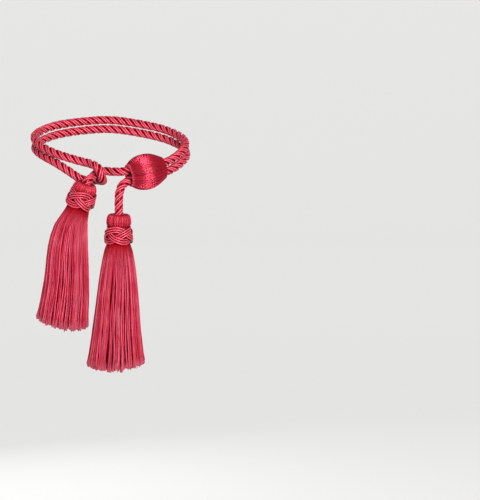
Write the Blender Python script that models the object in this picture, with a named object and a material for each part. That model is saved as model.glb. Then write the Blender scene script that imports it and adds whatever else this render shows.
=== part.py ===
"""A tieback: one rope with a tassel at each end, laid in the loop it makes in use.

The rope is doubled.  The doubled rope goes round the loop from a covered slide bead at
the front right, round the right side, the back and the left side, to its own bend at the
front left.  One end leaves the bead to the left, passes behind the bend and comes forward
through it, so that the bend holds it.  Each end carries a tassel: a satin head with a
plaited band round its neck and a skirt of hanging yarn.

Frame: +Z up, the front is -Y.  The origin is at the back, on the underside of the lower
rope, where the tieback hangs on its hook.  Sizes below are in millimetres.
"""
import math
import bpy
import bmesh
import numpy as np
from mathutils import Matrix, Vector

MM = 0.001

# ---- rope ----
ROPE_D = 8.8          # over the three strands
ROPE_VALLEY = 0.77    # radius in the grooves between strands, as a share of the full radius
LAY = 25.0            # length of one full turn of a strand, right-hand laid
RING_STEP = LAY / 8.0

# ---- slide bead ----
BEAD_FROM = (18.0, -96.0, -39.0)     # centre of its left end
BEAD_TO = (53.5, -83.0, -31.7)       # centre of its right end
CHANNEL = 4.8         # each rope lies this far from the bead's axis, one above the other at its left end
CHANNEL_TURN = 16.0   # how far the two turn round each other in the bore, the lower one to the back
BEAD_BORE_R = 9.55
BEAD_SIDES = 32
# share of the length, radius
BEAD_PROFILE = [(0.00, 10.5), (0.015, 11.2), (0.05, 11.6), (0.14, 14.2), (0.28, 16.6), (0.45, 17.6),
                (0.62, 17.2), (0.78, 15.1), (0.90, 12.6), (0.97, 11.2), (0.99, 10.9), (1.00, 10.4)]

# ---- tassel ----
HEAD_SIDES = 36
PLEAT = 0.035         # satin pleats of the ruff, as a share of the radius
SOCKET_R = 4.9        # the rope end sits in this
SOCKET_DEEP = 6.6
NECK_R = 9.8
FLANGE_R = 12.8
# the ruff: radius, height under the top of the head
RUFF = {"left": [(SOCKET_R, -SOCKET_DEEP), (SOCKET_R, -3.0), (6.4, -1.1), (8.2, -0.3), (9.6, -1.0), (10.7, -2.8),
                 (11.5, -4.6), (11.8, -5.8), (10.8, -6.7)],
        "right": [(SOCKET_R, -SOCKET_DEEP), (SOCKET_R, -3.0), (6.6, -1.0), (9.2, 0.0), (11.4, -1.0), (12.4, -3.4),
                  (12.5, -6.4), (11.8, -9.0), (10.4, -10.6)]}
RUFF_FOOT = -11.0     # height where the neck starts
FOOT = -34.4
DEPTH = 0.82          # a skirt's depth over its width
# rows of locks: how many, radius at the root, share of the skirt's half width, turn
LOCK_ROWS = [(40, 11.9, 1.00, 0.0), (26, 8.2, 0.68, 0.5), (14, 4.6, 0.36, 0.25)]
LOCK_ROOT = 1.15      # width of a lock where it leaves the head
LOCK_FILL = 0.80      # share of its place that a lock fills lower down

# ---- plaited band round each neck: one strip, three times round, four bights ----
BAND_MID = -21.1      # height of its middle under the top of the head
BAND_SWING = 6.4      # height of a bight over the middle
BAND_R = 13.3
BAND_LIFT = 1.4       # in and out at a crossing
BAND_BARREL = 1.4     # how far the bights draw in
BAND_WIDTH = 5.4
BAND_THICK = 1.4
BAND_STEPS = 72

# ---- the doubled rope round its loop ----
# angle round the loop, heights of the lower and the upper run, how far outside the plain oval each of them lies
LOOP = [(-40, -34.8, -25.1, -0.4, 0.4), (-27, -29.5, -19.4, 0.1, 0.6), (-13, -23.6, -13.6, 0.5, 0.3),
        (0, -18.7, -8.5, 0.0, 0.0), (15, -13.6, -3.7, -0.1, 0.0), (30, -9.3, 0.6, 0.0, 0.0),
        (45, -4.8, 5.0, 0.0, 0.0), (67, 0.5, 10.0, 0.0, 0.0), (90, 4.4, 13.8, 0.0, 0.0), (113, 2.9, 12.4, 0.0, 0.0),
        (135, -0.9, 9.2, 0.0, 0.0), (150, -4.9, 5.8, -0.1, 0.1), (165, -9.1, 2.1, -0.5, 0.3),
        (180, -12.9, -1.6, -1.2, 0.8), (195, -16.9, -6.1, -2.0, 1.2), (210, -21.4, -11.8, -2.2, 1.4),
        (225, -27.2, -17.4, -1.6, 1.0), (237, -34.4, -21.4, -0.5, 0.3), (248, -42.4, -25.0, 0.0, 0.0)]
LOOP_Y, LOOP_HALF_Y = -48.0, 48.0
LOOP_X = {"lower": (0.6, 77.2), "upper": (0.9, 76.0)}     # middle and half width

# right tassel's rope, from its head up to the bead: x, y, z
RIGHT_DROP = [(8.4, -104.0, -82.0), (8.4, -104.0, -74.5), (8.4, -103.6, -64.5), (9.1, -102.4, -55.5),
              (12.0, -100.2, -48.4)]
# the bend at the front left, from the lower run to the upper run
BEND = [(-18.9, -88.8, -44.0), (-13.5, -88.4, -43.8), (-9.4, -91.2, -44.1), (-7.2, -99.2, -43.5),
        (-9.1, -105.9, -37.4), (-12.0, -104.7, -30.4), (-20.5, -96.5, -26.5)]
# left tassel's rope, from the bead behind the bend, forward through it and down to its head
LEFT_DROP = [(9.7, -95.7, -35.0), (0.4, -92.6, -34.9), (-7.1, -91.2, -34.5), (-12.3, -92.9, -35.4),
             (-15.9, -96.9, -38.3), (-18.0, -104.6, -40.5), (-20.3, -107.9, -41.6), (-23.2, -109.6, -44.6),
             (-24.9, -109.3, -50.2)]

# ---- the two tassels ----
# head: centre of the top of the head, and how the head leans: to -X and to +Y, from top to bottom, in degrees
# short: how much shorter its ruff is; bight: turn of the band's first upper bight from +X, in degrees
# skirt: height, middle x, middle y, half width
# hem: height under the middle, tilt and lift towards the sides
TASSELS = {
    "left": dict(head=(-23.1, -109.8, -44.9), lean=(18.5, 6.0), short=4.2, bight=-80.3,
                 skirt=[(-85.0, -38.8, -106.7, 16.4), (-100.0, -42.0, -106.5, 19.1), (-145.0, -44.2, -106.2, 23.0),
                        (-187.0, -48.4, -106.0, 26.0)], hem=(-187.2, -4.8, 4.2)),
    "right": dict(head=(8.4, -104.0, -76.0), lean=(1.2, 1.0), short=0.0, bight=-104.5,
                  skirt=[(-122.0, 7.5, -104.8, 16.5), (-145.0, 7.0, -105.1, 20.0), (-180.0, 5.7, -105.4, 23.4),
                         (-228.0, 4.1, -106.0, 29.0)], hem=(-229.2, 1.4, 3.8)),
}

COLOURS = {"rope": (0.60, 0.010, 0.045, 1.0), "bead": (0.62, 0.012, 0.055, 1.0),
           "head": (0.55, 0.010, 0.045, 1.0), "band": (0.62, 0.012, 0.050, 1.0)}


def clear_scene():
    for ob in list(bpy.data.objects):
        bpy.data.objects.remove(ob, do_unlink=True)


def collection(name):
    col = bpy.data.collections.new(name)
    bpy.context.scene.collection.children.link(col)
    return col


def material(name, colour, roughness=0.42):
    mat = bpy.data.materials.new(name)
    mat.use_nodes = True
    shader = mat.node_tree.nodes["Principled BSDF"]
    shader.inputs["Base Color"].default_value = colour
    shader.inputs["Roughness"].default_value = roughness
    shader.inputs["Metallic"].default_value = 0.0
    return mat


def add_object(name, data, col, mat=None):
    ob = bpy.data.objects.new(name, data)
    col.objects.link(ob)
    if mat is not None:
        data.materials.append(mat)
    return ob


def guide(ob):
    ob.hide_render = True
    ob.display_type = 'WIRE'
    return ob


# ---------------------------------------------------------------- curves
def smooth_path(points, step):
    """A centripetal spline through the points, cut into even steps."""
    p = np.asarray(points, float)
    knots = np.concatenate([[0.0], np.cumsum(np.linalg.norm(np.diff(p, axis=0), axis=1) ** 0.5)])
    p = np.vstack([2 * p[0] - p[1], p, 2 * p[-1] - p[-2]])
    knots = np.concatenate([[2 * knots[0] - knots[1]], knots, [2 * knots[-1] - knots[-2]]])
    fine = []
    for i in range(1, len(p) - 2):
        a, b, c, d = p[i - 1:i + 3]
        ta, tb, tc, td = knots[i - 1:i + 3]
        for k in range(24):
            t = tb + (tc - tb) * k / 24
            ab = a + (b - a) * (t - ta) / (tb - ta)
            bc = b + (c - b) * (t - tb) / (tc - tb)
            cd = c + (d - c) * (t - tc) / (td - tc)
            abc = ab + (bc - ab) * (t - ta) / (tc - ta)
            bcd = bc + (cd - bc) * (t - tb) / (td - tb)
            fine.append(abc + (bcd - abc) * (t - tb) / (tc - tb))
    fine = np.array(fine + [p[-2]])
    along = np.concatenate([[0.0], np.cumsum(np.linalg.norm(np.diff(fine, axis=0), axis=1))])
    stations = np.linspace(0.0, along[-1], int(round(along[-1] / step)) + 1)
    return np.stack([np.interp(stations, along, fine[:, k]) for k in range(3)], axis=1), stations


def loop_run(which):
    middle, half = LOOP_X[which]
    pick = 1 if which == "lower" else 2
    return [(middle + (half + row[pick + 2]) * math.cos(math.radians(row[0])),
             LOOP_Y + (LOOP_HALF_Y + row[pick + 2]) * math.sin(math.radians(row[0])), row[pick]) for row in LOOP]


def bead_axes():
    start, end = Vector(BEAD_FROM), Vector(BEAD_TO)
    along = (end - start).normalized()
    up = Vector((0, 0, 1))
    up = (up - along * up.dot(along)).normalized()
    return start, end, along, up


def bead_channel(side):
    start, end, along, up = bead_axes()
    back = up.cross(along)
    points = []
    for share in (0.02, 0.34, 0.66, 0.98):
        turn = math.radians(CHANNEL_TURN) * (share - 0.02) / 0.96
        points.append(tuple(start.lerp(end, share) + (up * math.cos(turn) - back * math.sin(turn)) * CHANNEL * side))
    return points


def rope_route():
    return (RIGHT_DROP + bead_channel(-1) + loop_run("lower") + BEND + loop_run("upper")[::-1]
            + bead_channel(1)[::-1] + LEFT_DROP)


def closed_outline(name, points, col):
    """A flat closed outline that a curve object uses as its section."""
    curve = bpy.data.curves.new(name, 'CURVE')
    curve.dimensions = '2D'
    spline = curve.splines.new('POLY')
    spline.points.add(len(points) - 1)
    for point, (x, y) in zip(spline.points, points):
        point.co = (x * MM, y * MM, 0.0, 1.0)
    spline.use_cyclic_u = True
    return guide(add_object(name, curve, col))


def swept(name, path, section, col, mat, tilts=None, closed=False, mode='MINIMUM'):
    curve = bpy.data.curves.new(name, 'CURVE')
    curve.dimensions = '3D'
    curve.twist_mode = mode
    curve.bevel_mode = 'OBJECT'
    curve.bevel_object = section
    curve.use_fill_caps = not closed
    spline = curve.splines.new('POLY')
    spline.points.add(len(path) - 1)
    for i, (x, y, z) in enumerate(path):
        spline.points[i].co = (x * MM, y * MM, z * MM, 1.0)
        if tilts is not None:
            spline.points[i].tilt = tilts[i]
    spline.use_cyclic_u = closed
    return add_object(name, curve, col, mat)


# ---------------------------------------------------------------- rope
def strand_section():
    """Three lobes: a groove, then two points on the round of a strand, three times."""
    radius = ROPE_D / 2
    points = []
    for strand in range(3):
        for turn, share in ((0.0, ROPE_VALLEY), (40.0, 0.995), (80.0, 0.995)):
            angle = math.radians(strand * 120.0 + turn)
            points.append((radius * share * math.cos(angle), radius * share * math.sin(angle)))
    return points[::-1]


def build_rope(col, guides):
    path, along = smooth_path(rope_route(), RING_STEP)
    section = closed_outline("rope_section", strand_section(), guides)
    tilts = [2.0 * math.pi * s / LAY for s in along]
    return swept("rope", path, section, col, material("rope_yarn", COLOURS["rope"]), tilts)


# ---------------------------------------------------------------- turned pieces
def turned(profile, sides, closed_profile):
    """Spin a (radius, height) profile round Z; heights and radii in millimetres."""
    bm = bmesh.new()
    verts = [bm.verts.new((r * MM, 0.0, z * MM)) for r, z in profile]
    pairs = list(zip(verts, verts[1:]))
    if closed_profile:
        pairs.append((verts[-1], verts[0]))
    edges = [bm.edges.new(pair) for pair in pairs]
    bmesh.ops.spin(bm, geom=verts + edges, axis=(0, 0, 1), cent=(0, 0, 0), steps=sides, angle=2 * math.pi,
                   use_merge=True, use_duplicate=False)
    bmesh.ops.remove_doubles(bm, verts=bm.verts, dist=1e-6)
    if not closed_profile:
        rims = [e for e in bm.edges if e.is_boundary]
        bmesh.ops.holes_fill(bm, edges=rims, sides=0)
    bmesh.ops.recalc_face_normals(bm, faces=bm.faces)
    return bm


def finish_mesh(name, bm, col, mat, matrix=None):
    mesh = bpy.data.meshes.new(name)
    bm.to_mesh(mesh)
    bm.free()
    ob = add_object(name, mesh, col, mat)
    if matrix is not None:
        ob.matrix_world = matrix
    mesh.shade_smooth()
    mesh.set_sharp_from_angle(angle=math.radians(50))
    return ob


def build_bead(col):
    start, end, along, up = bead_axes()
    length = (end - start).length
    profile = [(r, share * length) for share, r in BEAD_PROFILE]
    profile += [(BEAD_BORE_R, length), (BEAD_BORE_R, 0.0)]
    bm = turned(profile, BEAD_SIDES, True)
    side = up.cross(along)
    matrix = Matrix((( side.x, up.x, along.x, start.x * MM), (side.y, up.y, along.y, start.y * MM),
                     (side.z, up.z, along.z, start.z * MM), (0, 0, 0, 1)))
    return finish_mesh("bead", bm, col, material("bead_thread", COLOURS["bead"], 0.35), matrix)


# ---------------------------------------------------------------- tassels
def head_matrix(tassel):
    """From the head's own frame (its axis on Z, its top at 0) to the part's frame."""
    lean_x, lean_y = (math.radians(v) for v in tassel["lean"])
    down = Vector((-math.tan(lean_x), math.tan(lean_y), -1.0)).normalized()
    z_axis = -down
    x_axis = (Vector((1, 0, 0)) - z_axis * z_axis.x).normalized()
    y_axis = z_axis.cross(x_axis)
    top = Vector(tassel["head"])
    return Matrix(((x_axis.x, y_axis.x, z_axis.x, top.x), (x_axis.y, y_axis.y, z_axis.y, top.y),
                   (x_axis.z, y_axis.z, z_axis.z, top.z), (0, 0, 0, 1)))


def head_mesh(side):
    short = TASSELS[side]["short"]
    neck = [(NECK_R, RUFF_FOOT - 0.4), (NECK_R, FOOT + 3.8), (11.4, FOOT + 3.3), (FLANGE_R, FOOT + 2.2),
            (FLANGE_R, FOOT)]
    bm = turned(RUFF[side] + [(r, z + short) for r, z in neck], HEAD_SIDES, False)
    for vert in bm.verts:
        r = math.hypot(vert.co.x, vert.co.y)
        if r > 7.5 * MM and vert.co.z > (RUFF_FOOT + short) * MM:
            swell = 1.0 + PLEAT * math.cos(HEAD_SIDES / 2 * math.atan2(vert.co.y, vert.co.x))
            vert.co.x *= swell
            vert.co.y *= swell
    return bm


def lock_path(tassel, frame, row, number, turn_step):
    """Points of one lock from inside the head's foot to the hem, with its width at each."""
    count, root_r, share, offset = row
    turn = 2 * math.pi * (number + offset) / count
    wander = 0.16 * turn_step * math.sin(7.3 * number + 2.1 * count)
    c0, s0 = math.cos(turn), math.sin(turn)
    c1, s1 = math.cos(turn + wander), math.sin(turn + wander)
    hem_z, tilt, lift = tassel["hem"]
    across = c1 * share
    bottom = hem_z + tilt * across + lift * across * across + 1.1 * math.sin(11.7 * number + count)
    foot = FOOT + tassel["short"]
    points = [frame @ Vector((root_r * c0, root_r * s0, z)) for z in (foot + 1.2, foot - 0.6)]
    rooms = [root_r, root_r]
    for z, x, y, half in tassel["skirt"]:
        height = bottom if z == tassel["skirt"][-1][0] else z
        radius = half * share - 1.2
        points.append(Vector((x + radius * c1, y + radius * DEPTH * s1, height)))
        rooms.append(radius * (0.5 + 0.5 * DEPTH))
    widths = [LOCK_ROOT, LOCK_ROOT * 1.05] + [r * turn_step * LOCK_FILL for r in rooms[2:]]
    return points, widths, turn + wander


def add_lock(bm, points, widths, turn):
    """A three-sided lock: a ridge outwards and a flat side inwards."""
    outward = Vector((math.cos(turn), math.sin(turn), 0.0))
    sideways = Vector((-math.sin(turn), math.cos(turn), 0.0))
    rings = []
    for point, width in zip(points, widths):
        ridge, half = 0.55 * min(width, 3.0), 0.5 * width
        corners = [point + outward * ridge, point + sideways * half - outward * ridge * 0.45,
                   point - sideways * half - outward * ridge * 0.45]
        rings.append([bm.verts.new(corner * MM) for corner in corners])
    for upper, lower in zip(rings, rings[1:]):
        for k in range(3):
            bm.faces.new((upper[k], upper[(k + 1) % 3], lower[(k + 1) % 3], lower[k]))
    bm.faces.new(rings[0])
    bm.faces.new(rings[-1])


def build_tassel(side, col, guides):
    tassel = TASSELS[side]
    frame = head_matrix(tassel)
    name = "tassel_" + side
    bm = head_mesh(side)
    bm.transform(Matrix.Scale(1.0 / MM, 4))
    bm.transform(frame)
    bm.transform(Matrix.Scale(MM, 4))
    bmesh.ops.recalc_face_normals(bm, faces=bm.faces)
    ob = finish_mesh(name, bm, col, material(name + "_yarn", COLOURS["head"]))
    locks = bmesh.new()
    for row in LOCK_ROWS:
        turn_step = 2 * math.pi / row[0]
        for number in range(row[0]):
            add_lock(locks, *lock_path(tassel, frame, row, number, turn_step))
    bmesh.ops.recalc_face_normals(locks, faces=locks.faces)
    skirt = guide(finish_mesh(name + "_locks", locks, guides, None))
    union = ob.modifiers.new("roots", 'BOOLEAN')
    union.operation = 'UNION'
    union.solver = 'EXACT'
    union.object = skirt
    return ob


# ---------------------------------------------------------------- plaited band
def band_path(tassel):
    """Centre line in the head's own frame: three turns round the neck, over and under at each crossing."""
    path = []
    for k in range(BAND_STEPS):
        turn = 6.0 * math.pi * k / BAND_STEPS
        phase = 4.0 * turn / 3.0 + math.pi / 2
        r = BAND_R + BAND_LIFT * math.sin(2.0 * phase) - BAND_BARREL * math.sin(phase) ** 2
        turn += math.radians(tassel["bight"])
        path.append(Vector((r * math.cos(turn), r * math.sin(turn),
                            BAND_MID + tassel["short"] + BAND_SWING * math.sin(phase))))
    return path


def build_band(side, col, guides, section):
    name = "band_" + side
    ob = swept(name, band_path(TASSELS[side]), section, col, material(name + "_cord", COLOURS["band"], 0.38),
               closed=True, mode='Z_UP')
    loc = head_matrix(TASSELS[side])
    loc.translation = Vector(TASSELS[side]["head"]) * MM
    ob.matrix_world = loc
    return ob


def build():
    clear_scene()
    col = collection("curtain_tieback")
    guides = collection("guides")
    build_rope(col, guides)
    build_bead(col)
    half_w, half_t = BAND_WIDTH / 2, BAND_THICK / 2
    strip = closed_outline("band_section", [(-half_t * 0.55, -half_w), (-half_t, 0.0), (-half_t * 0.55, half_w),
                                            (half_t * 0.55, half_w), (half_t, 0.0), (half_t * 0.55, -half_w)], guides)
    for side in ("left", "right"):
        build_tassel(side, col, guides)
        build_band(side, col, guides, strip)


build()
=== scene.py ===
"""A tieback: a doubled satin rope with a covered slide bead and a tassel at each end."""

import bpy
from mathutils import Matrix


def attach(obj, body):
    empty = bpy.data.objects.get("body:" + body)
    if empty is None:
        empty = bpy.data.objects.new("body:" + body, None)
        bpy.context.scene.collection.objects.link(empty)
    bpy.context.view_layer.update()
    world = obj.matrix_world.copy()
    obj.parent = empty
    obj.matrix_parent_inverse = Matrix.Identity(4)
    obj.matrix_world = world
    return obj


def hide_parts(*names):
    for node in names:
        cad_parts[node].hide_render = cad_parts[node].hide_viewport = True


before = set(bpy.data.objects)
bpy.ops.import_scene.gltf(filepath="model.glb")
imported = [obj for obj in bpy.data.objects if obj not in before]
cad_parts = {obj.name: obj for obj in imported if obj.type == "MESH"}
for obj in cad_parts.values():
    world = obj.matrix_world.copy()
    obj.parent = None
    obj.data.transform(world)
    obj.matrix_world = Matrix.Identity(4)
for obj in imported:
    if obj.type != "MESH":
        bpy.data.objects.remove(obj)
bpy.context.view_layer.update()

import math
from types import SimpleNamespace

import bmesh
import bpy
import numpy as np
from mathutils import Matrix, Vector

MM = 0.001
FRONT = -90.0                  # the turn of a tassel's front, which faces -Y
PHASE = 6.3                    # a wave starts anywhere up to here, about a full turn

# ---- rope, in millimetres ----
LAY = 25.0                     # one full turn of a strand, laid right-handed
PLY_R = 1.2                    # each strand shows two plies side by side
PLY_RING = 3.2                 # distance of a ply's middle from the rope's
PLY_SPREAD = 22.0              # half the angle between the two plies of a strand
PLY_SIDES = 8
PLY_SWELL, PLY_SWELL_RUN = 0.02, 3.1       # share of its radius, and the length per radian of the wave
STRANDS = 3
# "yarn" of the first strand, the step to the next one, and from a strand's middle to each of its plies
STRAND_SHADE, STRAND_SHADE_STEP, PLY_SHADE_STEP = 0.35, 0.12, 0.1
ROPE_CORE_R = 2.0              # fills the middle between the strands
# the core's low "yarn" value makes it the darkest part: painted shade in the grooves between the strands
ROPE_CORE_SHADE = 0.1
ROPE_STEP = 1.15               # from ring to ring of a ply
FINE_POINTS = 24               # read for each given point of a line before it is put in even steps

# ---- slide bead ----
BEAD_FROM = (18.0, -96.0, -39.0)
BEAD_TO = (53.5, -83.0, -31.7)
CHANNEL = 4.8                  # each rope lies this far from the bead's axis
CHANNEL_TURN = 16.0            # how far the two turn round each other in the bore
CHANNEL_SHARES = (0.02, 0.34, 0.66, 0.98)  # where the route's points lie in the bore
# share of the length, radius: out of the bore, over the lip, along the body and back in
BEAD_LINE = [(0.10, 9.3), (0.03, 9.45), (-0.002, 10.2), (0.012, 11.0), (0.05, 11.5), (0.14, 14.1),
             (0.28, 16.5), (0.45, 17.5), (0.62, 17.1), (0.78, 15.0), (0.90, 12.5), (0.97, 11.1),
             (1.002, 10.2), (0.97, 9.45), (0.90, 9.3)]
BEAD_R = max(r for _, r in BEAD_LINE)
BEAD_SEED = 5
BEAD_THREADS = 210
BEAD_THREAD_R = 0.33           # at the widest of the bead
BEAD_THREAD_THIN = 0.35        # the share of it that stays however narrow the bead gets
BEAD_THREAD_SHIFT = 0.7        # the range of a thread's place, as a share of the distance between two
BEAD_THREAD_SWAY, BEAD_THREAD_WAVE = 0.012, 3.1      # in radians: round the bead, and over its length
BEAD_THREAD_LIFT = (-0.20, 0.10)           # least and most, halfway along
BEAD_POINTS = 30
BEAD_CORE_IN = 0.35            # the core lies this far under the threads' middles
BEAD_CORE_FROM, BEAD_CORE_TO = 0.05, 0.95  # shares of the line between which it does
BEAD_CORE_SIDES = 64
THREAD_SIDES = 4               # of the bead's and the ruffs' threads

# ---- head of a tassel: radius, height under its top ----
RUFF_LINES = {
    "left": [(5.0, -4.6), (5.3, -2.6), (6.5, -1.0), (8.2, -0.3), (9.5, -1.0), (10.6, -2.8), (11.4, -4.6),
             (11.8, -6.2), (11.7, -8.0), (11.2, -9.4), (10.2, -10.4)],
    "right": [(5.0, -4.8), (5.4, -2.8), (6.7, -1.2), (8.6, -0.6), (10.2, -1.6), (11.1, -3.6), (11.6, -6.2),
              (11.8, -9.0), (11.4, -11.0), (10.2, -12.6)],
}
RUFF_THREADS = 170
RUFF_THREAD_R = 0.30
RUFF_THREAD_SHIFT = 0.45       # how far a thread lies off its place, as a share of the distance between two
RUFF_THREAD_SWAY, RUFF_THREAD_WAVE = 0.018, 2.6      # in radians: round the head, and over its length
RUFF_THREAD_LIFT = (-0.12, 0.08)           # least and most, where the ruff is full
RUFF_PLEATS = 30
RUFF_PLEAT_DEEP = 0.35
RUFF_PLEAT_WANDER = 0.9        # in radians, three times round: the pleats aren't even
# "yarn" of the ruff, how much a pleat adds or takes as painted light on its outer fold and painted shade in
# its inner fold, and how much a thread does
RUFF_SHADE, RUFF_PLEAT_PAINTED_LIGHT, RUFF_THREAD_SHADE = 0.55, 0.28, 0.12
RUFF_POINTS = 20
RUFF_FLAT_R, RUFF_FULL_R = 6.5, 10.5       # the pleats start at the one radius and are full at the other
HEAD_CORE_IN = 0.55            # the core lies this far under the threads' middles
HEAD_CORE_SIDES = 48
SOCKET_R = 4.9                 # the core keeps this far from the head's axis, round the rope
NECK_LINE = [(10.0, -13.4), (10.4, -20.0), (10.0, -27.0), (7.0, -31.0), (5.0, -36.0)]

# ---- plaited band: one lead of three cords, three times round the neck with four bights ----
BAND_ROUNDS, BAND_BIGHTS = 3, 4
BAND_MID = -21.1
BAND_SWING = 6.0
BAND_R = 13.1
BAND_LIFT = 1.2                # in and out at a crossing
BAND_BARREL = 1.3              # how far the bights draw in
BAND_CORD_SHADES = [0.45, 0.65, 0.55]      # "yarn" of each cord
BAND_CORDS = len(BAND_CORD_SHADES)
BAND_CORD_R = 0.95
BAND_PITCH = 2.25              # from cord to cord of the lead
BAND_CROWN = 0.12              # how far the outer cords lie under the middle one
BAND_STEPS = 288
CORD_SIDES = 10

# ---- skirt ----
DEPTH = 0.82                   # a skirt's depth over its width
SKIRT_ROOT = (-26.0, -30.4, -33.4)         # heights in the head's foot where the yarns start
YARN_R = 0.30
YARN_SIDES = 3
YARN_TIP = 1.2                 # how much thicker a yarn is at its cut end
ROOT_STATIONS, SKIRT_STATIONS = 4, 10      # rings of a yarn in the head's foot, and from there to the hem
# rows of locks: locks, yarns in each, share of the half width, radius at the root
LOCK_ROWS = [(64, 21, 1.00, 9.3), (44, 11, 0.78, 7.6), (20, 9, 0.44, 4.8)]
SKIRT_SEED = 100               # added to a tassel's seed
ROOT_WIDE = 0.42               # half a lock's width at the root, as a share of the turn from lock to lock
ROOT_DEEP = 0.5                # half its depth there
ROOT_INNER = 0.35              # share of the root's spread that a lock in the middle still takes
LOCK_IN = 1.9                  # a lock's middle lies this far inside the skirt's outline
LOCK_DEEP = 1.5                # half a lock's depth
LOCK_SHIFT, LOCK_DRIFT = 0.12, 0.14        # off its place at the root, and further on, in steps of a lock
LOCK_TWIST = 1.3               # in radians, from the root to the hem
LOCK_DROP = 0.7                # of its end, up or down
LOCK_TIGHT = (0.50, 0.72)      # how much of its place a lock fills at the hem
LOCK_DRAWN = 0.4               # share of that tightening which it has from the root on
LOCK_WAVE, LOCK_SWAY = 0.11, 0.40          # radians per millimetre, and how far
LOCK_SWAY_OUT = 0.5            # share of the sway that goes in and out
LOCK_SWAY_GROWTH, YARN_SWAY_GROWTH = 0.6, 0.5        # powers: a sway grows from nothing at the root
STRAY_SHARE, STRAY_SPREAD = 0.05, 1.9      # some yarns lie this much further out of their lock
YARN_WAVE, YARN_SWAY = (0.15, 0.30), 0.22  # radians per millimetre, and how far
YARN_CUT = 0.55                # how uneven the cut ends are
YARN_FLARE, YARN_FLARE_OUT = 0.35, 0.1     # how far the cut ends stand apart, and outwards on the whole
YARN_SHADES = (0.20, 0.20, 0.60)           # shares of a lock's shade, a yarn's own and the crest's in "yarn"; the crest's is painted light on a lock's crest and painted shade inside the skirt
PAINTED_LIGHT_FALL, PAINTED_SHADE_INWARD = 1.5, 2           # powers: the painted highlight of a lock's crest fades aside, and painted shade grows towards the skirt's middle

# ---- the doubled rope's route round its loop ----
# angle, heights of the lower and the upper run, how far outside the plain oval each of them lies
LOOP = [(-40, -34.8, -25.1, -0.4, 0.4), (-27, -29.5, -19.4, 0.1, 0.6), (-13, -23.6, -13.6, 0.5, 0.3),
        (0, -18.7, -8.5, 0.0, 0.0), (15, -13.6, -3.7, -0.1, 0.0), (30, -9.3, 0.6, 0.0, 0.0),
        (45, -4.8, 5.0, 0.0, 0.0), (67, 0.5, 10.0, 0.0, 0.0), (90, 4.4, 13.8, 0.0, 0.0),
        (113, 2.9, 12.4, 0.0, 0.0), (135, -0.9, 9.2, 0.0, 0.0), (150, -4.9, 5.8, -0.1, 0.1),
        (165, -9.1, 2.1, -0.5, 0.3), (180, -12.9, -1.6, -1.2, 0.8), (195, -16.9, -6.1, -2.0, 1.2),
        (210, -21.4, -11.8, -2.2, 1.4), (225, -27.2, -17.4, -1.6, 1.0), (237, -34.4, -21.4, -0.5, 0.3),
        (248, -42.4, -25.0, 0.0, 0.0)]
LOOP_Y, LOOP_HALF_Y = -48.0, 48.0
LOOP_X = {"lower": (0.6, 77.2), "upper": (0.9, 76.0)}      # middle and half width
# from the right head up to the bead
RIGHT_DROP = [(8.4, -104.0, -82.0), (8.4, -104.0, -74.5), (8.4, -103.6, -64.5), (9.1, -102.4, -55.5),
              (12.0, -100.2, -48.4)]
# from the lower run to the upper run
BEND = [(-18.9, -88.8, -44.0), (-13.5, -88.4, -43.8), (-9.4, -91.2, -44.1), (-7.2, -99.2, -43.5),
        (-9.1, -105.9, -37.4), (-12.0, -104.7, -30.4), (-20.5, -96.5, -26.5)]
# from the bead behind the bend, forward through it and down to the left head
LEFT_DROP = [(9.7, -95.7, -35.0), (0.4, -92.6, -34.9), (-7.1, -91.2, -34.5), (-12.3, -92.9, -35.4),
             (-15.9, -96.9, -38.3), (-18.0, -104.6, -40.5), (-20.3, -107.9, -41.6), (-23.2, -109.6, -44.6),
             (-24.9, -109.3, -50.2)]

# ---- the two tassels ----
# head: its top; lean: of its foot to -X and to +Y in degrees; short: how much shorter its ruff is
# bight: turn of the plait's first upper bight; pleat: share of the pleats' depth; seed: of its random draws
# skirt: height, middle x, middle y, half width; hem: height, its tilt and its lift towards the sides
# root: how far the yarns spread in the head's foot
TASSELS = {
    "left": dict(head=(-23.1, -109.8, -44.9), lean=(18.5, 6.0), short=4.2, bight=FRONT + 9.7, seed=11,
                 skirt=[(-85.0, -38.2, -106.7, 16.4), (-100.0, -41.0, -106.5, 19.1),
                        (-145.0, -43.9, -106.2, 23.0), (-187.0, -48.4, -106.0, 26.0)],
                 hem=(-187.2, -4.8, 4.2), root=(0.0, 1.2, 1.7), pleat=0.35),
    "right": dict(head=(8.4, -104.0, -76.0), lean=(1.2, 1.0), short=0.0, bight=FRONT - 14.5, seed=23,
                  skirt=[(-122.0, 7.5, -104.8, 16.5), (-145.0, 7.0, -105.1, 20.0),
                         (-180.0, 5.7, -105.4, 23.4), (-228.0, 4.1, -106.0, 29.0)],
                  hem=(-229.2, 1.4, 3.8), root=(0.0, 1.8, 3.0), pleat=1.0),
}

# ---- camera, in millimetres: the photograph's own view ----
CAMERA_PLACE = (0.0, -1687.235, 53.702)
CAMERA_FAR, CAMERA_ASIDE, CAMERA_DOWN = 1600.0, 130.0, 6.0   # the last in degrees
PICTURE_TALL = 500.0           # what the picture's long side shows at that distance
SENSOR = 36.0

# ---- stage and light, in metres ----
# distance from the middle, height: a flat floor, a curve up and the wall
STAGE_LINE = [(0.0, -0.9), (5.0, -0.9), (6.2, -0.75), (6.8, -0.2), (7.0, 0.8), (7.0, 4.0)]
STAGE_SIDES = 48
STAGE_COLOUR, STAGE_ROUGH = (0.30, 0.30, 0.295, 1.0), 0.9
# how far back the wall starts to glow and glows most, how much there, and in what colour
GLOW_DEPTH, GLOW, GLOW_COLOUR = (0.5, 1.6), (0.20, 0.62), (1.0, 1.0, 0.985, 1.0)
WORLD_COLOUR, WORLD_LIGHT = (0.95, 0.96, 1.0, 1.0), 0.12
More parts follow.
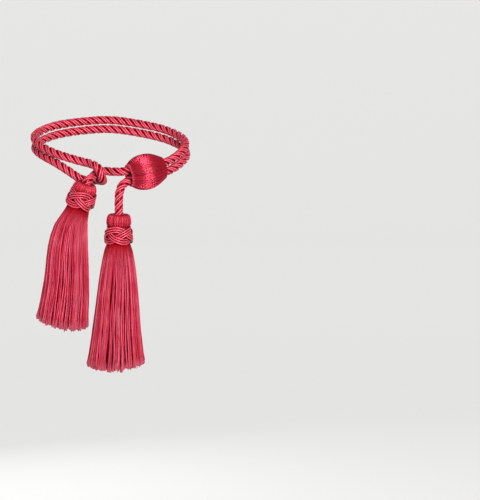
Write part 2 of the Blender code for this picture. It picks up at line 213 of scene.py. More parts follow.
# name, place, side of its square, power, whether it shows in reflections
LIGHTS = [("key", (0.95, -2.1, 0.55), 1.1, 95.0, True),
          ("fill", (-1.6, -1.7, 0.3), 0.9, 34.0, False),
          ("back", (-0.6, 2.2, 0.3), 1.6, 22.0, True)]
LIGHT_AIM = (0.0, -0.09, -0.12)


# ---------------------------------------------------------------- lines
def through(points, knots, at):
    """A smooth line through the points, which stand at the knots, read at the values in at."""
    p, t, at = (np.asarray(a, float) for a in (points, knots, at))
    wide = (-1,) + (1,) * (p.ndim - 1)
    h = np.diff(t).reshape(wide)
    slope = np.diff(p, axis=0) / h
    inner = (slope[:-1] * h[1:] + slope[1:] * h[:-1]) / (h[:-1] + h[1:])
    tangent = np.concatenate([slope[:1], inner, slope[-1:]])
    i = np.clip(np.searchsorted(t, at, side="right") - 1, 0, len(t) - 2)
    h = h[i]
    u = (at - t[i]).reshape(wide) / h
    return ((2 * u ** 3 - 3 * u ** 2 + 1) * p[i] + (u ** 3 - 2 * u ** 2 + u) * h * tangent[i]
            + (3 * u ** 2 - 2 * u ** 3) * p[i + 1] + (u ** 3 - u ** 2) * h * tangent[i + 1])


def run_length(line):
    """The length from the line's start to each of its points."""
    return np.concatenate([[0.0], np.cumsum(np.linalg.norm(np.diff(line, axis=0), axis=1))])


def even_line(points, step=None, count=None):
    """A smooth line through the points, in even steps, with its run length at each."""
    p = np.asarray(points, float)
    knots = np.concatenate([[0.0], np.cumsum(np.linalg.norm(np.diff(p, axis=0), axis=1) ** 0.5)])
    fine = through(p, knots, np.linspace(0.0, knots[-1], FINE_POINTS * len(p)))
    along = run_length(fine)
    count = count or int(round(along[-1] / step)) + 1
    at = np.linspace(0.0, along[-1], count)
    return np.stack([np.interp(at, along, fine[:, k]) for k in range(p.shape[1])], axis=1), at


def carried_frames(line):
    """Two directions across the line at each point, carried along it with no twist of their own."""
    tangents = np.gradient(line, axis=0)
    tangents /= np.linalg.norm(tangents, axis=1)[:, None]
    side = np.cross(tangents[0], (0.0, 1.0, 0.0))
    sides = []
    for tangent in tangents:
        side = side - tangent * side.dot(tangent)
        side = side / np.linalg.norm(side)
        sides.append(side)
    sides = np.array(sides)
    return sides, np.cross(tangents, sides)


# ---------------------------------------------------------------- meshes
def ring_outline(sides):
    """A closed outline of radius 1 that a curve takes as its section."""
    curve = bpy.data.curves.new("outline", 'CURVE')
    curve.dimensions = '2D'
    spline = curve.splines.new('POLY')
    spline.points.add(sides - 1)
    for k, point in enumerate(spline.points):
        turn = -2 * math.pi * k / sides
        point.co = (math.cos(turn), math.sin(turn), 0.0, 1.0)
    spline.use_cyclic_u = True
    return curve


def tubes(name, lines, radii, sides, values, closed=False, outward=None):
    """One object of round yarns, one along each line, in millimetres.

    radii has, for each line, one number or one for each of its points.
    values has one number for each line, which the mesh keeps as the attribute "yarn".
    The attribute "share" goes from 0 to 1 along each line.
    outward has the direction away from the piece's middle at each point of each line. It gives the
    attribute "crest": 1 on a yarn's outer side and 0 on its inner side. From it the material paints a
    highlight on the outer side and a shade in the grooves."""
    outline = bpy.data.objects.new("outline", ring_outline(sides))
    curve = bpy.data.curves.new(name, 'CURVE')
    curve.dimensions = '3D'
    curve.bevel_mode = 'OBJECT'
    curve.bevel_object = outline
    curve.use_fill_caps = not closed
    guide = bpy.data.objects.new(name, curve)
    for ob in (outline, guide):
        bpy.context.scene.collection.objects.link(ob)
    for line, radius in zip(lines, radii):
        spline = curve.splines.new('POLY')
        spline.points.add(len(line) - 1)
        corners = np.column_stack([np.asarray(line) * MM, np.ones(len(line))])
        spline.points.foreach_set("co", corners.ravel())
        width = np.broadcast_to(np.asarray(radius, float) * MM, len(line))
        spline.points.foreach_set("radius", width.copy())
        spline.use_cyclic_u = closed
    graph = bpy.context.evaluated_depsgraph_get()
    mesh = bpy.data.meshes.new_from_object(guide.evaluated_get(graph))
    mesh.name = name
    yarn, share = [], []
    if not closed:                      # the ends' faces come first, from the last line to the first
        for value in list(values)[::-1]:
            yarn.append(np.full(2 * sides, value))
            share.append(np.repeat([1.0, 0.0], sides))
    for line, value in zip(lines, values):
        rings = len(line)
        yarn.append(np.full(rings * sides, value))
        share.append(np.repeat(np.linspace(0.0, 1.0, rings), sides))
    kept = {"yarn": np.concatenate(yarn), "share": np.concatenate(share)}
    if outward is not None:
        spots = np.empty(3 * len(mesh.vertices))
        mesh.vertices.foreach_get("co", spots)
        spots = spots.reshape(-1, 3) / MM
        first = 0 if closed else 2 * sides * len(lines)
        crest = [np.zeros(first)]
        for line, radius, away in zip(lines, radii, outward):
            rings = spots[first:first + len(line) * sides].reshape(-1, sides, 3)
            first += len(line) * sides
            rise = np.einsum("rsk,rk->rs", rings - line[:, None], away) / np.reshape(radius, (-1, 1))
            crest.append((0.5 + 0.5 * rise).ravel())
        kept["crest"] = np.concatenate(crest)
    for key, data in kept.items():
        mesh.attributes.new(key, 'FLOAT', 'POINT').data.foreach_set("value", data)
    for ob, data in ((guide, curve), (outline, outline.data)):
        bpy.data.objects.remove(ob)
        bpy.data.curves.remove(data)
    bm = bmesh.new()
    bm.from_mesh(mesh)
    bmesh.ops.remove_doubles(bm, verts=bm.verts, dist=1e-8)
    bm.to_mesh(mesh)
    bm.free()
    return placed(name, mesh)


def placed(name, mesh):
    """A smooth object of the mesh, in the scene."""
    ob = bpy.data.objects.new(name, mesh)
    bpy.context.scene.collection.objects.link(ob)
    mesh.shade_smooth()
    return ob


def turned(name, line, sides, matrix, closed):
    """A (radius, height) line spun round its axis and put in its place, in millimetres."""
    bm = bmesh.new()
    verts = [bm.verts.new((r, 0.0, z)) for r, z in line]
    edges = [bm.edges.new(pair) for pair in zip(verts, verts[1:])]
    if closed:
        edges.append(bm.edges.new((verts[-1], verts[0])))
    bmesh.ops.spin(bm, geom=verts + edges, axis=(0, 0, 1), cent=(0, 0, 0), steps=sides,
                   angle=2 * math.pi, use_merge=True, use_duplicate=False)
    bmesh.ops.remove_doubles(bm, verts=bm.verts, dist=1e-4)
    bmesh.ops.holes_fill(bm, edges=[e for e in bm.edges if e.is_boundary], sides=0)
    bm.transform(Matrix.Scale(MM, 4) @ matrix)
    bmesh.ops.recalc_face_normals(bm, faces=bm.faces)
    mesh = bpy.data.meshes.new(name)
    bm.to_mesh(mesh)
    bm.free()
    return placed(name, mesh)


def in_place(matrix, lines):
    """Lines from a piece's own frame to the part's."""
    turn, shift = np.array(matrix.to_3x3()), np.array(matrix.translation)
    return np.asarray(lines) @ turn.T + shift


# ---------------------------------------------------------------- materials
class Nodes:
    """Short calls for one material's nodes."""

    def __init__(self, name):
        self.material = bpy.data.materials.new(name)
        self.material.use_nodes = True
        self.tree = self.material.node_tree
        self.shader = self.tree.nodes["Principled BSDF"]

    def add(self, kind, settings=None, **inputs):
        made = self.tree.nodes.new("ShaderNode" + kind)
        for key, value in (settings or {}).items():
            setattr(made, key, value)
        for key, value in inputs.items():
            self.feed(made, key, value)
        return made

    def feed(self, target, key, value):
        socket = target.inputs[int(key[1:]) if key[0] == "_" else key.replace("_", " ")]
        if isinstance(value, bpy.types.NodeSocket):
            self.tree.links.new(value, socket)
        else:
            socket.default_value = value

    def math(self, operation, a, b=0.0):
        return self.add("Math", {"operation": operation}, _0=a, _1=b).outputs[0]

    def attribute(self, name):
        return self.add("Attribute", {"attribute_name": name}).outputs["Fac"]

    def mix(self, share, a, b):
        made = self.add("Mix", {"data_type": 'RGBA'}, _0=share)
        self.feed(made, "_6", a)
        self.feed(made, "_7", b)
        return made.outputs[2]

    def noise(self, vector, scale, detail=2.0, **more):
        return self.add("TexNoise", Vector=vector, Scale=scale, Detail=detail, **more).outputs["Fac"]

    def spread(self, value, low, high, to_low=0.0, to_high=1.0):
        return self.add("MapRange", _0=value, _1=low, _2=high, _3=to_low, _4=to_high).outputs[0]


# shades of the dye, from a yarn's darkest to its lightest, and the painted highlight on its outer side;
# the darkest shade is also laid on as painted shade in grooves and at roots, and the lightest as a
# painted highlight at cut ends
DARK = [(0.09, 0.0004, 0.003, 1.0), (0.20, 0.002, 0.008, 1.0), (0.28, 0.006, 0.017, 1.0)]
ROPE = [(0.21, 0.0008, 0.006, 1.0), (0.26, 0.0020, 0.010, 1.0), (0.33, 0.007, 0.020, 1.0)]
ROPE_PAINTED_HIGHLIGHT = (0.62, 0.100, 0.150, 1.0)
GLOSSY = [(0.15, 0.0008, 0.005, 1.0), (0.28, 0.003, 0.012, 1.0), (0.38, 0.009, 0.025, 1.0)]
RUFF = [(0.12, 0.0006, 0.004, 1.0), (0.30, 0.004, 0.015, 1.0), (0.50, 0.024, 0.050, 1.0)]
PAINTED_HIGHLIGHT = (0.56, 0.070, 0.110, 1.0)
SOFT = [(0.22, 0.0003, 0.004, 1.0), (0.38, 0.011, 0.033, 1.0), (0.64, 0.115, 0.170, 1.0)]
GLINT = (1.0, 0.22, 0.31, 1.0)             # dyed satin gives back a tinted light
BEAD_GLINT = (1.0, 0.10, 0.18, 1.0)
# shares of a yarn's own value, its fibres and the patches over a piece in the shade
YARN_SHARE, FIBRE_SHARE, PATCH_SHARE = 0.55, 0.45, 0.25
PATCHES = 60.0                 # per metre
YARN_APART = 37.0              # how far apart two yarns read the fibres' noise
TO_MIDDLE, TO_LIGHT = (0.30, 0.60), (0.55, 0.95)   # where the shade turns to the next one
PAINTED_GROOVE_SHADE, PAINTED_RIDGE_HIGHLIGHT = (0.30, 0.88), (0.86, 1.0)          # how far up a yarn's side it is dark, a painted shade in the groove, and is lightest, a painted highlight
LIP_FADE = 1.4                 # the painted highlight on the lip has faded where it is this many times as long
ROOT_FADE = 0.2                # the painted shade at the root is darkest up to this share of its length
TIP_LIGHT = 0.9                # painted highlight: share of the lightest shade at a yarn's very end
FIBRE_DETAIL, FIBRE_GRAIN = 3.0, 0.6       # of the fibres' noise
FIBRE_RANGE, FIBRE_ROUGH = (0.3, 0.8), (-0.06, 0.08)    # a fibre's noise, and what it adds to the roughness
FIBRE_BUMP, FIBRE_DEEP = 0.25, 0.15        # strength, and depth in millimetres
GROUND_WEAVE = 900.0           # per metre
GROUND_ROUGH = 0.55
GROUND_BUMP, GROUND_DEEP = 0.3, 0.1        # strength, and depth in millimetres


def satin(name, shades, lustre, rough, length, streak, lines, root=0.0, tip=0.0, shine=0.8, glint=GLINT,
          crest=None, lip=0.0):
    """Dyed satin yarn. Fine lines of fibre run along it, and its shade differs from yarn to yarn.

    lustre is its index of refraction, high as bundled filaments shine; rough is its middle roughness.
    length is a yarn's length and streak that of a line of fibre, in millimetres; lines lie round it.
    root is the share of the yarn that is darker at its root, a painted shade; tip the share that is lighter
    at its end, and lip the share at its start that is lightest, both painted highlights. shine and glint are
    the strength and the tint of its gleam. crest is the colour of its outer side, a painted highlight, and
    its inner side is as dark as shades go, a painted shade in the grooves."""
    n = Nodes(name)
    uv = n.add("UVMap", {"uv_map": "UVMap"}).outputs["UV"]
    parts = n.add("SeparateXYZ", Vector=uv).outputs
    turn = n.math('MULTIPLY', parts[1], 2 * math.pi)
    along = n.math('MULTIPLY', parts[0], length / streak)
    place = n.add("CombineXYZ", X=n.math('MULTIPLY', n.math('COSINE', turn), lines / math.pi),
                  Y=n.math('MULTIPLY', n.math('SINE', turn), lines / math.pi), Z=along).outputs[0]
    apart = n.add("CombineXYZ", X=n.math('MULTIPLY', n.attribute("yarn"), YARN_APART), Y=0.0, Z=0.0)
    shifted = n.add("VectorMath", {"operation": 'ADD'}, _0=place, _1=apart.outputs[0])
    fibre = n.noise(shifted.outputs[0], 1.0, FIBRE_DETAIL, Roughness=FIBRE_GRAIN)
    patch = n.noise(n.add("TexCoord").outputs["Object"], PATCHES)
    shade = n.math('ADD', n.math('MULTIPLY', n.attribute("yarn"), YARN_SHARE),
                   n.math('ADD', n.math('MULTIPLY', fibre, FIBRE_SHARE),
                          n.math('MULTIPLY', patch, PATCH_SHARE)))
    colour = n.mix(n.spread(shade, *TO_MIDDLE), shades[0], shades[1])
    colour = n.mix(n.spread(shade, *TO_LIGHT), colour, shades[2])
    # painted shade in the grooves between yarns, and a painted highlight on each yarn's outer side
    if crest:
        rise = n.attribute("crest")
        colour = n.mix(n.spread(rise, *PAINTED_GROOVE_SHADE, 1.0, 0.0), colour, shades[0])
        colour = n.mix(n.spread(rise, *PAINTED_RIDGE_HIGHLIGHT), colour, crest)
    # a painted highlight on the lip, at the yarn's start
    if lip:
        colour = n.mix(n.spread(n.attribute("share"), lip, LIP_FADE * lip, 1.0, 0.0), colour, PAINTED_HIGHLIGHT)
    # painted shade at the yarn's root
    if root:
        colour = n.mix(n.spread(n.attribute("share"), ROOT_FADE * root, root, 1.0, 0.0), colour, shades[0])
    # a painted highlight at the yarn's cut end
    if tip:
        colour = n.mix(n.spread(n.attribute("share"), 1.0 - tip, 1.0, 0.0, TIP_LIGHT), colour, shades[2])
    n.feed(n.shader, "Base_Color", colour)
    n.feed(n.shader, "Roughness", n.spread(fibre, *FIBRE_RANGE, *(rough + more for more in FIBRE_ROUGH)))
    n.feed(n.shader, "IOR", lustre)
    n.feed(n.shader, "Specular_IOR_Level", shine)
    n.feed(n.shader, "Specular_Tint", glint)
    bump = n.add("Bump", Strength=FIBRE_BUMP, Distance=FIBRE_DEEP * MM, Height=fibre)
    n.feed(n.shader, "Normal", bump.outputs[0])
    return n.material


def core_satin(name):
    """The ground under the threads, which shows only between them. It takes the darker shades: a painted
    shade between the threads.
    """
    n = Nodes(name)
    where = n.add("TexCoord").outputs["Object"]
    weave = n.noise(where, GROUND_WEAVE, FIBRE_DETAIL)
    n.feed(n.shader, "Base_Color", n.mix(weave, DARK[0], DARK[1]))
    n.feed(n.shader, "Roughness", GROUND_ROUGH)
    bump = n.add("Bump", Strength=GROUND_BUMP, Distance=GROUND_DEEP * MM, Height=weave)
    n.feed(n.shader, "Normal", bump.outputs[0])
    return n.material


def dress(ob, material, slot, *nodes):
    """Gives a finished piece its material and hides the CAD nodes that it stands for; the slot is not used.
    """
    ob.data.materials.clear()
    ob.data.materials.append(material)
    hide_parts(*nodes)
    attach(ob, "root")


# ---------------------------------------------------------------- camera
def make_camera():
    """The photograph's own view: from a little above, and turned a little to the right."""
    yaw, down = math.atan2(CAMERA_ASIDE, CAMERA_FAR), math.radians(CAMERA_DOWN)
    forward = Vector((math.sin(yaw) * math.cos(down), math.cos(yaw) * math.cos(down), -math.sin(down)))
    right = forward.cross(Vector((0, 0, 1))).normalized()
    up = right.cross(forward)
    data = bpy.data.cameras.new("camera")
    data.sensor_width = SENSOR
    data.lens = SENSOR * CAMERA_FAR / PICTURE_TALL
    data.clip_end = 50.0
    camera = bpy.data.objects.new("camera", data)
    bpy.context.scene.collection.objects.link(camera)
    place = Matrix((right, up, -forward)).transposed().to_4x4()
    place.translation = Vector(CAMERA_PLACE) * MM
    camera.matrix_world = place
    bpy.context.scene.camera = camera


# ---------------------------------------------------------------- rope
def loop_run(which):
    """The lower or the upper run of the doubled rope, from the bead round to the bend."""
    middle, half = LOOP_X[which]
    pick = 1 if which == "lower" else 2
    return [(middle + (half + row[pick + 2]) * math.cos(math.radians(row[0])),
             LOOP_Y + (LOOP_HALF_Y + row[pick + 2]) * math.sin(math.radians(row[0])), row[pick])
            for row in LOOP]


def bead_frame():
    """From the bead's own frame, with its axis on Z from its left end, to the part's."""
    start, end = Vector(BEAD_FROM), Vector(BEAD_TO)
    along = (end - start).normalized()
    up = Vector((0, 0, 1))
    up = (up - along * up.dot(along)).normalized()
    matrix = Matrix((up.cross(along), up, along)).transposed().to_4x4()
    matrix.translation = start
    return matrix, (end - start).length


def bead_channel(side):
    """The upper (side 1) or the lower (side -1) rope's points in the bore."""
    matrix, length = bead_frame()
    first, last = CHANNEL_SHARES[0], CHANNEL_SHARES[-1]
    points = []
    for share in CHANNEL_SHARES:
        turn = math.radians(CHANNEL_TURN) * (share - first) / (last - first)
        points.append(tuple(matrix @ Vector((-CHANNEL * side * math.sin(turn),
                                             CHANNEL * side * math.cos(turn), share * length))))
    return points


def make_rope():
    """From the right head through the bead, round the loop and back, and through it to the left head."""
    route = (RIGHT_DROP + bead_channel(-1) + loop_run("lower") + BEND + loop_run("upper")[::-1]
             + bead_channel(1)[::-1] + LEFT_DROP)
    line, along = even_line(route, ROPE_STEP)
    across, over = carried_frames(line)
    lines, outward, values = [line], [0.0 * line], [ROPE_CORE_SHADE]
    for strand in range(STRANDS):
        for side in (-1, 1):
            turn = 2 * math.pi * along / LAY + math.radians(360.0 / STRANDS * strand + PLY_SPREAD * side)
            outward.append(np.cos(turn)[:, None] * across + np.sin(turn)[:, None] * over)
            lines.append(line + PLY_RING * outward[-1])
            values.append(STRAND_SHADE + STRAND_SHADE_STEP * strand + PLY_SHADE_STEP * side)
    radii = [ROPE_CORE_R] + [PLY_R * (1 + PLY_SWELL * np.sin(along / PLY_SWELL_RUN + 2 * k))
                             for k in range(len(lines) - 1)]
    rope = tubes("satin_rope", lines, radii, PLY_SIDES, values, outward=outward)
    # crest: a painted highlight on each ply's outer side, and painted shade towards the core
    yarn = satin("rope_yarn", ROPE, lustre=2.1, rough=0.42, length=along[-1], streak=9.0, lines=14,
                 crest=ROPE_PAINTED_HIGHLIGHT, shine=0.40)
    dress(rope, yarn, "rope_yarn", "rope")


# ---------------------------------------------------------------- slide bead
def make_bead():
    """Satin threads laid lengthwise over a turned core with one round bore."""
    matrix, length = bead_frame()
    rng = np.random.default_rng(BEAD_SEED)
    profile, _ = even_line([(share * length, r) for share, r in BEAD_LINE], count=BEAD_POINTS)
    place = np.linspace(0.0, 1.0, BEAD_POINTS)
    lines, radii = [], []
    for number in range(BEAD_THREADS):
        shift, sway = rng.uniform(-0.5, 0.5), rng.normal(0.0, BEAD_THREAD_SWAY)
        wave = rng.uniform(0.0, PHASE)
        turn = 2 * math.pi * (number + BEAD_THREAD_SHIFT * shift) / BEAD_THREADS
        turn = turn + sway * np.sin(BEAD_THREAD_WAVE * place + wave)
        r = profile[:, 1] + rng.uniform(*BEAD_THREAD_LIFT) * np.sin(math.pi * place)
        lines.append(np.column_stack([r * np.cos(turn), r * np.sin(turn), profile[:, 0]]))
        radii.append(BEAD_THREAD_R * (BEAD_THREAD_THIN + (1 - BEAD_THREAD_THIN) * profile[:, 1] / BEAD_R))
    winding = tubes("bead_winding", [in_place(matrix, line) for line in lines], radii, THREAD_SIDES,
                    rng.uniform(0.0, 1.0, BEAD_THREADS))
    # lip: a painted highlight where the threads turn over the bead's end
    thread = satin("bead_thread", DARK, lustre=2.7, rough=0.29, length=60.0, streak=30.0, lines=2,
                   glint=BEAD_GLINT, lip=0.10)
    dress(winding, thread, "bead_thread", "bead")
    under = [(r - (BEAD_CORE_IN if BEAD_CORE_FROM < k < BEAD_CORE_TO else 0.0), z)
             for k, (z, r) in zip(place, profile)]
    core = turned("bead_core", under, BEAD_CORE_SIDES, matrix, True)
    dress(core, core_satin("bead_ground"), "bead_thread", "bead")


# ---------------------------------------------------------------- tassels
def head_frame(tassel):
    """From the head's own frame, with its axis on Z and its top at 0, to the part's."""
    lean_x, lean_y = (math.radians(v) for v in tassel["lean"])
    up = Vector((math.tan(lean_x), -math.tan(lean_y), 1.0)).normalized()
    side = (Vector((1, 0, 0)) - up * up.x).normalized()
    matrix = Matrix((side, up.cross(side), up)).transposed().to_4x4()
    matrix.translation = Vector(tassel["head"])
    return matrix


def make_head(side, tassel, matrix):
    """A head's core and the satin ruff round its top."""
    node = "tassel_" + side
    rng = np.random.default_rng(tassel["seed"])
    profile, _ = even_line(RUFF_LINES[side], count=RUFF_POINTS)
    place = np.linspace(0.0, 1.0, RUFF_POINTS)
    bulge = np.clip((profile[:, 0] - RUFF_FLAT_R) / (RUFF_FULL_R - RUFF_FLAT_R), 0.0, 1.0)
    lines, values = [], []
    for number in range(RUFF_THREADS):
        turn = number + rng.uniform(-RUFF_THREAD_SHIFT, RUFF_THREAD_SHIFT)
        turn = 2 * math.pi * turn / RUFF_THREADS
        pleat = math.cos(RUFF_PLEATS * turn + RUFF_PLEAT_WANDER * math.sin(3 * turn)) * tassel["pleat"]
        # a pleat's outer fold lighter and its inner fold darker: painted light and shade
        values.append(RUFF_SHADE + RUFF_PLEAT_PAINTED_LIGHT * pleat
                      + rng.uniform(-RUFF_THREAD_SHADE, RUFF_THREAD_SHADE))
        sway = rng.normal(0.0, RUFF_THREAD_SWAY)
        turns = turn + sway * np.sin(RUFF_THREAD_WAVE * place + rng.uniform(0.0, PHASE))
        r = profile[:, 0] + bulge * (RUFF_PLEAT_DEEP * pleat + rng.uniform(*RUFF_THREAD_LIFT))
        lines.append(in_place(matrix, np.column_stack([r * np.cos(turns), r * np.sin(turns),
                                                       profile[:, 1]])))
    ruff = tubes("ruff_" + side, lines, [RUFF_THREAD_R] * RUFF_THREADS, THREAD_SIDES, values)
    # root: painted shade in the ruff's top, round the rope's way in
    thread = satin("ruff_thread_" + side, RUFF, lustre=1.9, rough=0.40, length=30.0, streak=20.0,
                   lines=2, root=0.5, shine=0.55)
    dress(ruff, thread, "tassel_yarn", node)
    core_line = ([(max(SOCKET_R, r - HEAD_CORE_IN), z) for r, z in profile[1:-1]]
                 + [(r, z + tassel["short"]) for r, z in NECK_LINE])
    core = turned("head_core_" + side, core_line, HEAD_CORE_SIDES, matrix, False)
    dress(core, core_satin("head_ground_" + side), "tassel_yarn", node)


def make_plait(side, tassel, matrix):
    """Cords side by side that go over and under themselves round the neck."""
    turn = np.arange(BAND_STEPS) * (2 * BAND_ROUNDS) * math.pi / BAND_STEPS
    phase = BAND_BIGHTS * turn / BAND_ROUNDS + math.pi / 2
    turn = turn + math.radians(tassel["bight"])
    r = BAND_R + BAND_LIFT * np.sin(2 * phase) - BAND_BARREL * np.sin(phase) ** 2
    middle = np.column_stack([r * np.cos(turn), r * np.sin(turn),
                              BAND_MID + tassel["short"] + BAND_SWING * np.sin(phase)])
    ahead = np.roll(middle, -1, axis=0) - np.roll(middle, 1, axis=0)
    outward = np.column_stack([np.cos(turn), np.sin(turn), np.zeros(BAND_STEPS)])
    across = np.cross(ahead, outward)
    across /= np.linalg.norm(across, axis=1)[:, None]
    lines = []
    for cord in range(BAND_CORDS):
        shift = cord - (BAND_CORDS - 1) / 2
        cord_line = middle + across * BAND_PITCH * shift - outward * BAND_CROWN * shift ** 2
        lines.append(in_place(matrix, cord_line))
    outward = outward @ np.array(matrix.to_3x3()).T
    plait = tubes("plait_" + side, lines, [BAND_CORD_R] * BAND_CORDS, CORD_SIDES, BAND_CORD_SHADES,
                  closed=True, outward=[outward] * BAND_CORDS)
    # crest: a painted highlight on each cord's outer side, and painted shade in the grooves between cords
    cord_satin = satin("band_cord_" + side, GLOSSY, lustre=2.1, rough=0.40, length=240.0, streak=6.0,
                       lines=10, crest=PAINTED_HIGHLIGHT, shine=0.50)
    dress(plait, cord_satin, "band_cord", "band_" + side)


def lock_values(rng, number, locks, reach, start_r):
    """What the yarns of one lock share, drawn in the order in which it stands here."""
    step = 2 * math.pi / locks
    turn = step * (number + rng.uniform(-LOCK_SHIFT, LOCK_SHIFT))
    return SimpleNamespace(
        step=step, reach=reach, start_r=start_r, turn=turn,
        hem_turn=turn + step * rng.normal(0.0, LOCK_DRIFT), twist=rng.normal(0.0, LOCK_TWIST),
        sway=rng.normal(0.0, LOCK_SWAY, 2), beat=rng.uniform(0.0, PHASE), shade=rng.uniform(0.0, 1.0),
        drop=rng.normal(0.0, LOCK_DROP), tight=rng.uniform(*LOCK_TIGHT))


def yarn_points(rng, lock, tassel, root, axis_x, axis_y):
    """Points of one yarn from the head's foot to the hem, and how far aside it lies in its lock."""
    spot, away = rng.uniform(0.0, 2 * math.pi), math.sqrt(rng.uniform(0.0, 1.0))
    grow = STRAY_SPREAD if rng.uniform() < STRAY_SHARE else 1.0
    a0, b0 = away * math.cos(spot), away * math.sin(spot)
    a1, b1 = away * math.cos(spot + lock.twist), away * math.sin(spot + lock.twist)
    points = []
    for centre, extra in zip(root, tassel["root"]):
        turn = lock.turn + lock.step * ROOT_WIDE * a0
        r = lock.start_r + extra * (ROOT_INNER + (1 - ROOT_INNER) * lock.reach) + ROOT_DEEP * b0
        points.append(centre + axis_x * r * math.cos(turn) + axis_y * r * math.sin(turn))
    hem_z, tilt, lift = tassel["hem"]
    levels = len(tassel["skirt"])
    for level, (z, x, y, half) in enumerate(tassel["skirt"], 1):
        down = level / levels
        turn = lock.turn + (lock.hem_turn - lock.turn) * down
        c, s = math.cos(turn), math.sin(turn)
        r = half * lock.reach - LOCK_IN
        drawn = (1.0 - lock.tight) * (LOCK_DRAWN + (1 - LOCK_DRAWN) * down)
        wide = 0.5 * lock.step * r * (1.0 - drawn) * grow
        a, b = a0 + (a1 - a0) * down, b0 + (b1 - b0) * down
        r = r + LOCK_DEEP * b * grow
        if level == levels:
            edge = c * lock.reach
            z = hem_z + tilt * edge + lift * edge * edge + lock.drop + rng.normal(0.0, YARN_CUT)
        points.append((x + r * c - wide * a * s, y + DEPTH * (r * s + wide * a * c), z))
    return points, a0


def make_skirt(side, tassel, matrix):
    """Yarns in locks that hang from the head's foot."""
    rng = np.random.default_rng(tassel["seed"] + SKIRT_SEED)
    root = [in_place(matrix, [(0.0, 0.0, z + tassel["short"])])[0] for z in SKIRT_ROOT]
    heights = [p[2] for p in root] + [row[0] for row in tassel["skirt"]]
    knots = np.array([heights[0] - z for z in heights])
    foot = knots[len(root)]
    at = np.concatenate([np.linspace(0.0, foot, ROOT_STATIONS + 1)[:-1],
                         np.linspace(foot, knots[-1], SKIRT_STATIONS)])
    share = at / at[-1]
    axis_x = np.array(matrix.to_3x3() @ Vector((1, 0, 0)))
    axis_y = np.array(matrix.to_3x3() @ Vector((0, 1, 0)))
    radius = YARN_R * np.where(share == 1.0, YARN_TIP, 1.0)
    lines, values = [], []
    for locks, yarns, reach, start_r in LOCK_ROWS:
        for number in range(locks):
            lock = lock_values(rng, number, locks, reach, start_r)
            aside = np.array([-math.sin(lock.turn), math.cos(lock.turn) * DEPTH, 0.0])
            out = np.array([math.cos(lock.turn), math.sin(lock.turn) * DEPTH, 0.0])
            wave = np.sin(at * LOCK_WAVE + lock.beat)[:, None] * share[:, None] ** LOCK_SWAY_GROWTH
            for _ in range(yarns):
                points, a0 = yarn_points(rng, lock, tassel, root, axis_x, axis_y)
                line = through(points, knots, at)
                own = np.sin(at * rng.uniform(*YARN_WAVE) + rng.uniform(0.0, PHASE))[:, None]
                own = own * share[:, None] ** YARN_SWAY_GROWTH
                line = (line + wave * (lock.sway[0] * aside + LOCK_SWAY_OUT * lock.sway[1] * out)
                        + own * rng.normal(0.0, YARN_SWAY) * aside)
                line[-1] += (aside * rng.normal(0.0, YARN_FLARE)
                             + out * rng.normal(YARN_FLARE_OUT, YARN_FLARE))
                lines.append(line)
                # painted light and shade: the yarns on a lock's crest are the lightest, and those inside the
                # skirt, in shade, the darkest
                crest = max(0.0, 1.0 - abs(a0) ** PAINTED_LIGHT_FALL) * reach ** PAINTED_SHADE_INWARD
                values.append(YARN_SHADES[0] * lock.shade + YARN_SHADES[1] * rng.uniform(0.0, 1.0)
                              + YARN_SHADES[2] * crest)
    skirt = tubes("skirt_" + side, lines, [radius] * len(lines), YARN_SIDES, values)
    # root: painted shade under the head's foot; tip: a painted highlight on the cut ends at the hem
    yarn = satin("tassel_yarn_" + side, SOFT, lustre=1.45, rough=0.46, length=knots[-1], streak=12.0,
                 lines=2, root=0.36, tip=0.05, shine=0.15)
    dress(skirt, yarn, "tassel_yarn", "tassel_" + side)


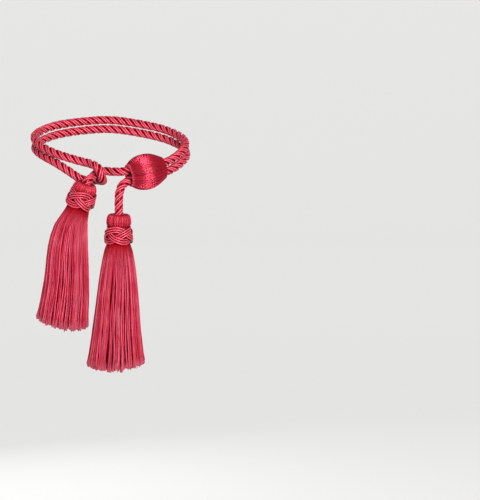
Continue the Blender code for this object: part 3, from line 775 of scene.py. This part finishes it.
# ---------------------------------------------------------------- floor and light
def make_stage():
    """A plain pale floor that rises to a wall far off on every side."""
    bm = bmesh.new()
    verts = [bm.verts.new((r, 0.0, z)) for r, z in STAGE_LINE]
    edges = [bm.edges.new(pair) for pair in zip(verts, verts[1:])]
    bmesh.ops.spin(bm, geom=verts + edges, axis=(0, 0, 1), cent=(0, 0, 0), steps=STAGE_SIDES,
                   angle=2 * math.pi, use_merge=True, use_duplicate=False)
    bmesh.ops.remove_doubles(bm, verts=bm.verts, dist=1e-4)
    bmesh.ops.recalc_face_normals(bm, faces=bm.faces)
    bmesh.ops.reverse_faces(bm, faces=bm.faces)
    mesh = bpy.data.meshes.new("floor")
    bm.to_mesh(mesh)
    bm.free()
    floor = placed("floor", mesh)
    n = Nodes("floor_paint")
    n.feed(n.shader, "Base_Color", STAGE_COLOUR)
    n.feed(n.shader, "Roughness", STAGE_ROUGH)
    n.feed(n.shader, "Emission_Color", GLOW_COLOUR)
    # the wall behind the tieback glows, and the one in front of it stays dim in the satin's reflections
    depth = n.add("SeparateXYZ", Vector=n.add("TexCoord").outputs["Object"]).outputs[1]
    n.feed(n.shader, "Emission_Strength", n.spread(depth, *GLOW_DEPTH, *GLOW))
    mesh.materials.append(n.material)


def make_lights():
    """Soft square lights that face the tieback's middle, and a faint pale world."""
    for name, place, size, power, shows in LIGHTS:
        data = bpy.data.lights.new(name, 'AREA')
        data.shape = 'SQUARE'
        data.size = size
        data.energy = power
        light = bpy.data.objects.new(name, data)
        bpy.context.scene.collection.objects.link(light)
        light.visible_glossy = shows
        place = Vector(place)
        aim = (Vector(LIGHT_AIM) - place).to_track_quat('-Z', 'Y')
        light.matrix_world = Matrix.Translation(place) @ aim.to_matrix().to_4x4()
    world = bpy.data.worlds.new("pale_world")
    world.use_nodes = True
    background = world.node_tree.nodes["Background"]
    background.inputs["Color"].default_value = WORLD_COLOUR
    background.inputs["Strength"].default_value = WORLD_LIGHT
    bpy.context.scene.world = world


def main():
    make_camera()
    make_rope()
    make_bead()
    for side, tassel in TASSELS.items():
        matrix = head_frame(tassel)
        make_head(side, tassel, matrix)
        make_plait(side, tassel, matrix)
        make_skirt(side, tassel, matrix)
    make_stage()
    make_lights()
    bpy.context.scene.view_settings.view_transform = 'Standard'


main()
